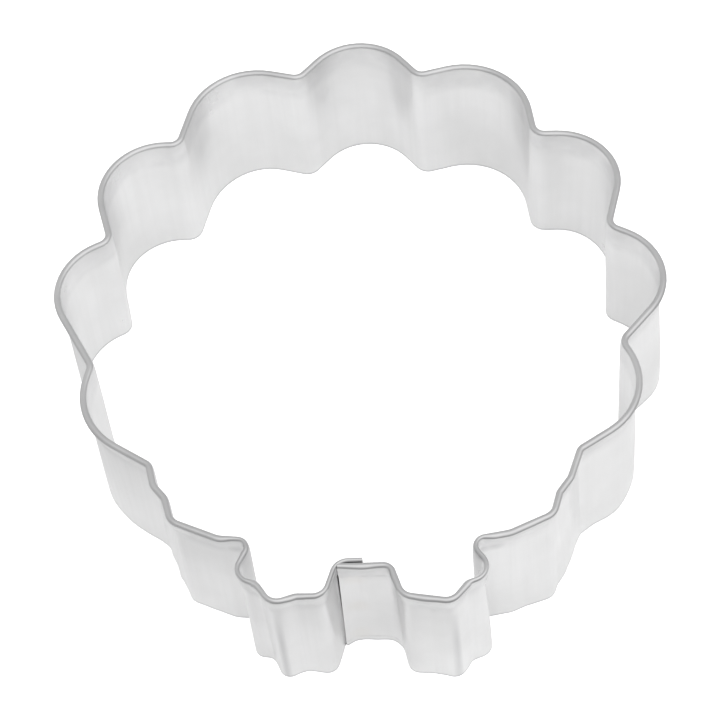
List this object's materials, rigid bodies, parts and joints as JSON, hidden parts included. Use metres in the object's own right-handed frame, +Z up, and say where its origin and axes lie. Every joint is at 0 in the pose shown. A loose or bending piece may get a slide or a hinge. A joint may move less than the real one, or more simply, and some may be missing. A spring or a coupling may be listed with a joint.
{
  "type": "cookie cutter",
  "caption": "Tinplate cookie cutter: a strip bent to a fan-tailed turkey outline, hemmed along the top, raw along the cutting edge, its lapped ends spot-welded between the feet.",
  "frame": {"origin": "middle of the outline's box, on the plane of the cutting edge", "axes": "+Z up from the cutting edge to the hemmed rim, +Y from the feet to the top feather of the tail, +X to the right when seen from the feet"},
  "size_m": [0.0806, 0.0882, 0.0222],
  "materials": {
    "tinplate": "bright satin tin coating with a faint rolling grain",
    "weld": "dull fused steel"
  },
  "bodies": {
    "root": {"formed_band": "tinplate", "spot_weld_lower": "weld", "spot_weld_middle": "weld", "spot_weld_upper": "weld"}
  },
  "joints": []
}
